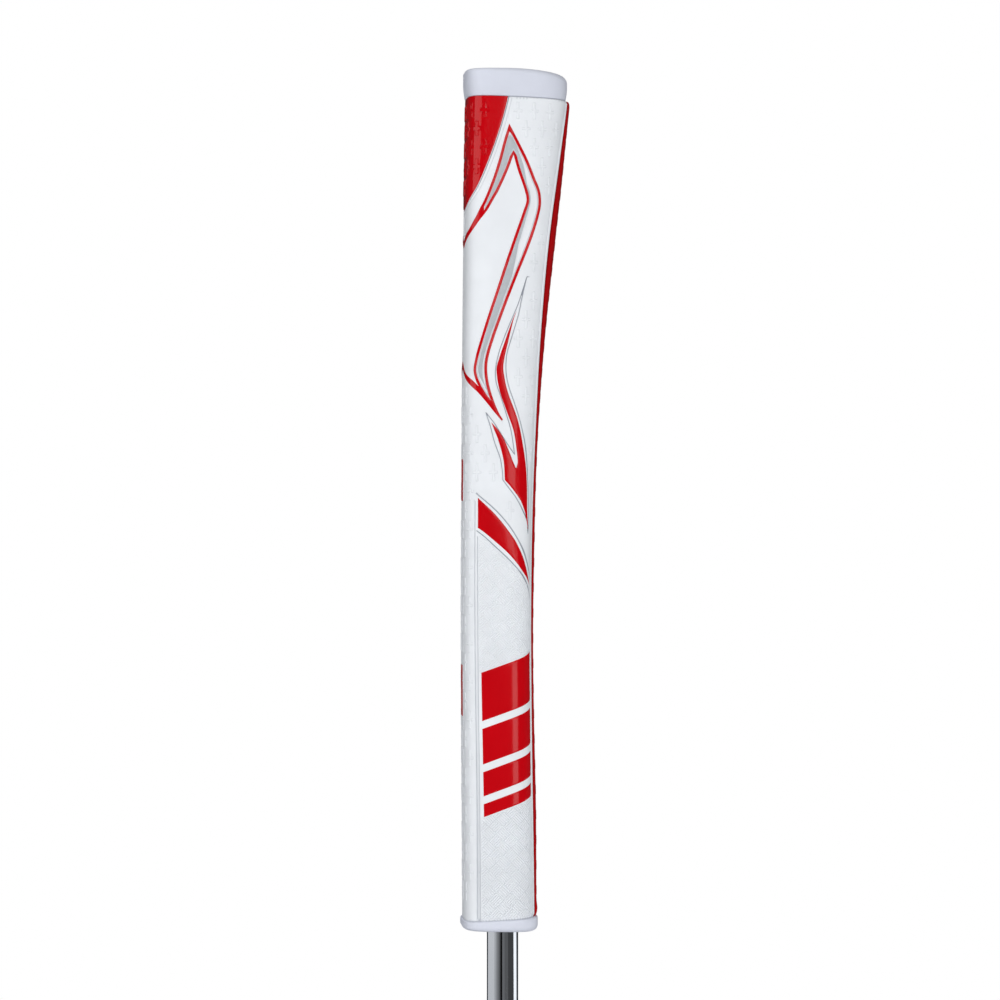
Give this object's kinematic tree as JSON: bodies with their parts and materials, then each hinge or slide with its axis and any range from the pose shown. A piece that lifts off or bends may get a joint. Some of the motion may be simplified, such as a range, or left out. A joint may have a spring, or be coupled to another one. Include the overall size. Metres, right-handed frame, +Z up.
{
  "type": "golf putter grip",
  "caption": "Pistol-profile putter grip with a flat front, a moulded red and white skin over a foam core, a butt cap with a screw plug, and the steel shaft butt inside it.",
  "frame": {"origin": "on the shaft axis at the mouth of the bottom collar, where the shaft leaves the grip", "axes": "+Z up the shaft towards the butt cap, the flat front faces -Y and the raised back faces +Y, mirror-symmetric about X = 0"},
  "size_m": [0.0292, 0.0338, 0.302],
  "materials": {
    "skin_white": "satin moulded polyurethane, textured",
    "strip_red": "satin moulded polyurethane, textured",
    "inlay_red": "glossy paint film pressed into the skin",
    "inlay_silver": "metallic silver paint film",
    "cap_rubber": "smooth satin rubber",
    "shaft_chrome": "polished chrome plate",
    "tape": "woven double-sided tape",
    "foam": "closed-cell foam",
    "felt": "non-woven felt",
    "port_plastic": "moulded nylon",
    "plug_plastic": "moulded nylon, fine texture",
    "seal_rubber": "smooth"
  },
  "bodies": {
    "grip": {"shaft": "shaft_chrome", "shaft_tape": "tape", "foam_core": "foam", "felt_backing": "felt", "skin_wrap": "skin_white", "back_strip": "strip_red", "butt_cap": "cap_rubber", "bottom_collar": "cap_rubber", "port_insert": "port_plastic", "top_field_inlay": "inlay_red", "blade_line_inlays": "inlay_red", "blade_silver_inlays": "inlay_silver", "flame_inlays": "inlay_red", "wedge_inlays": "inlay_red", "bar_inlays": "inlay_red", "front_dash_inlays": "inlay_red"},
    "plug_carrier": {"plug_o_ring": "seal_rubber"},
    "plug": {"port_plug": "plug_plastic"}
  },
  "joints": [
    {"name": "plug_lift", "type": "slide", "parent": "grip", "child": "plug_carrier", "axis": [0, 0, 1], "range_m": [0, 0.012]},
    {"name": "plug_turn", "type": "hinge", "parent": "plug_carrier", "child": "plug", "pos_m": [0, 0, 0.26], "axis": [0, 0, 1], "range_deg": [0, 2880]}
  ],
  "couplings": [
    {"joint": "plug_turn", "follows": "plug_lift", "rad_per_m": 4188.8}
  ]
}
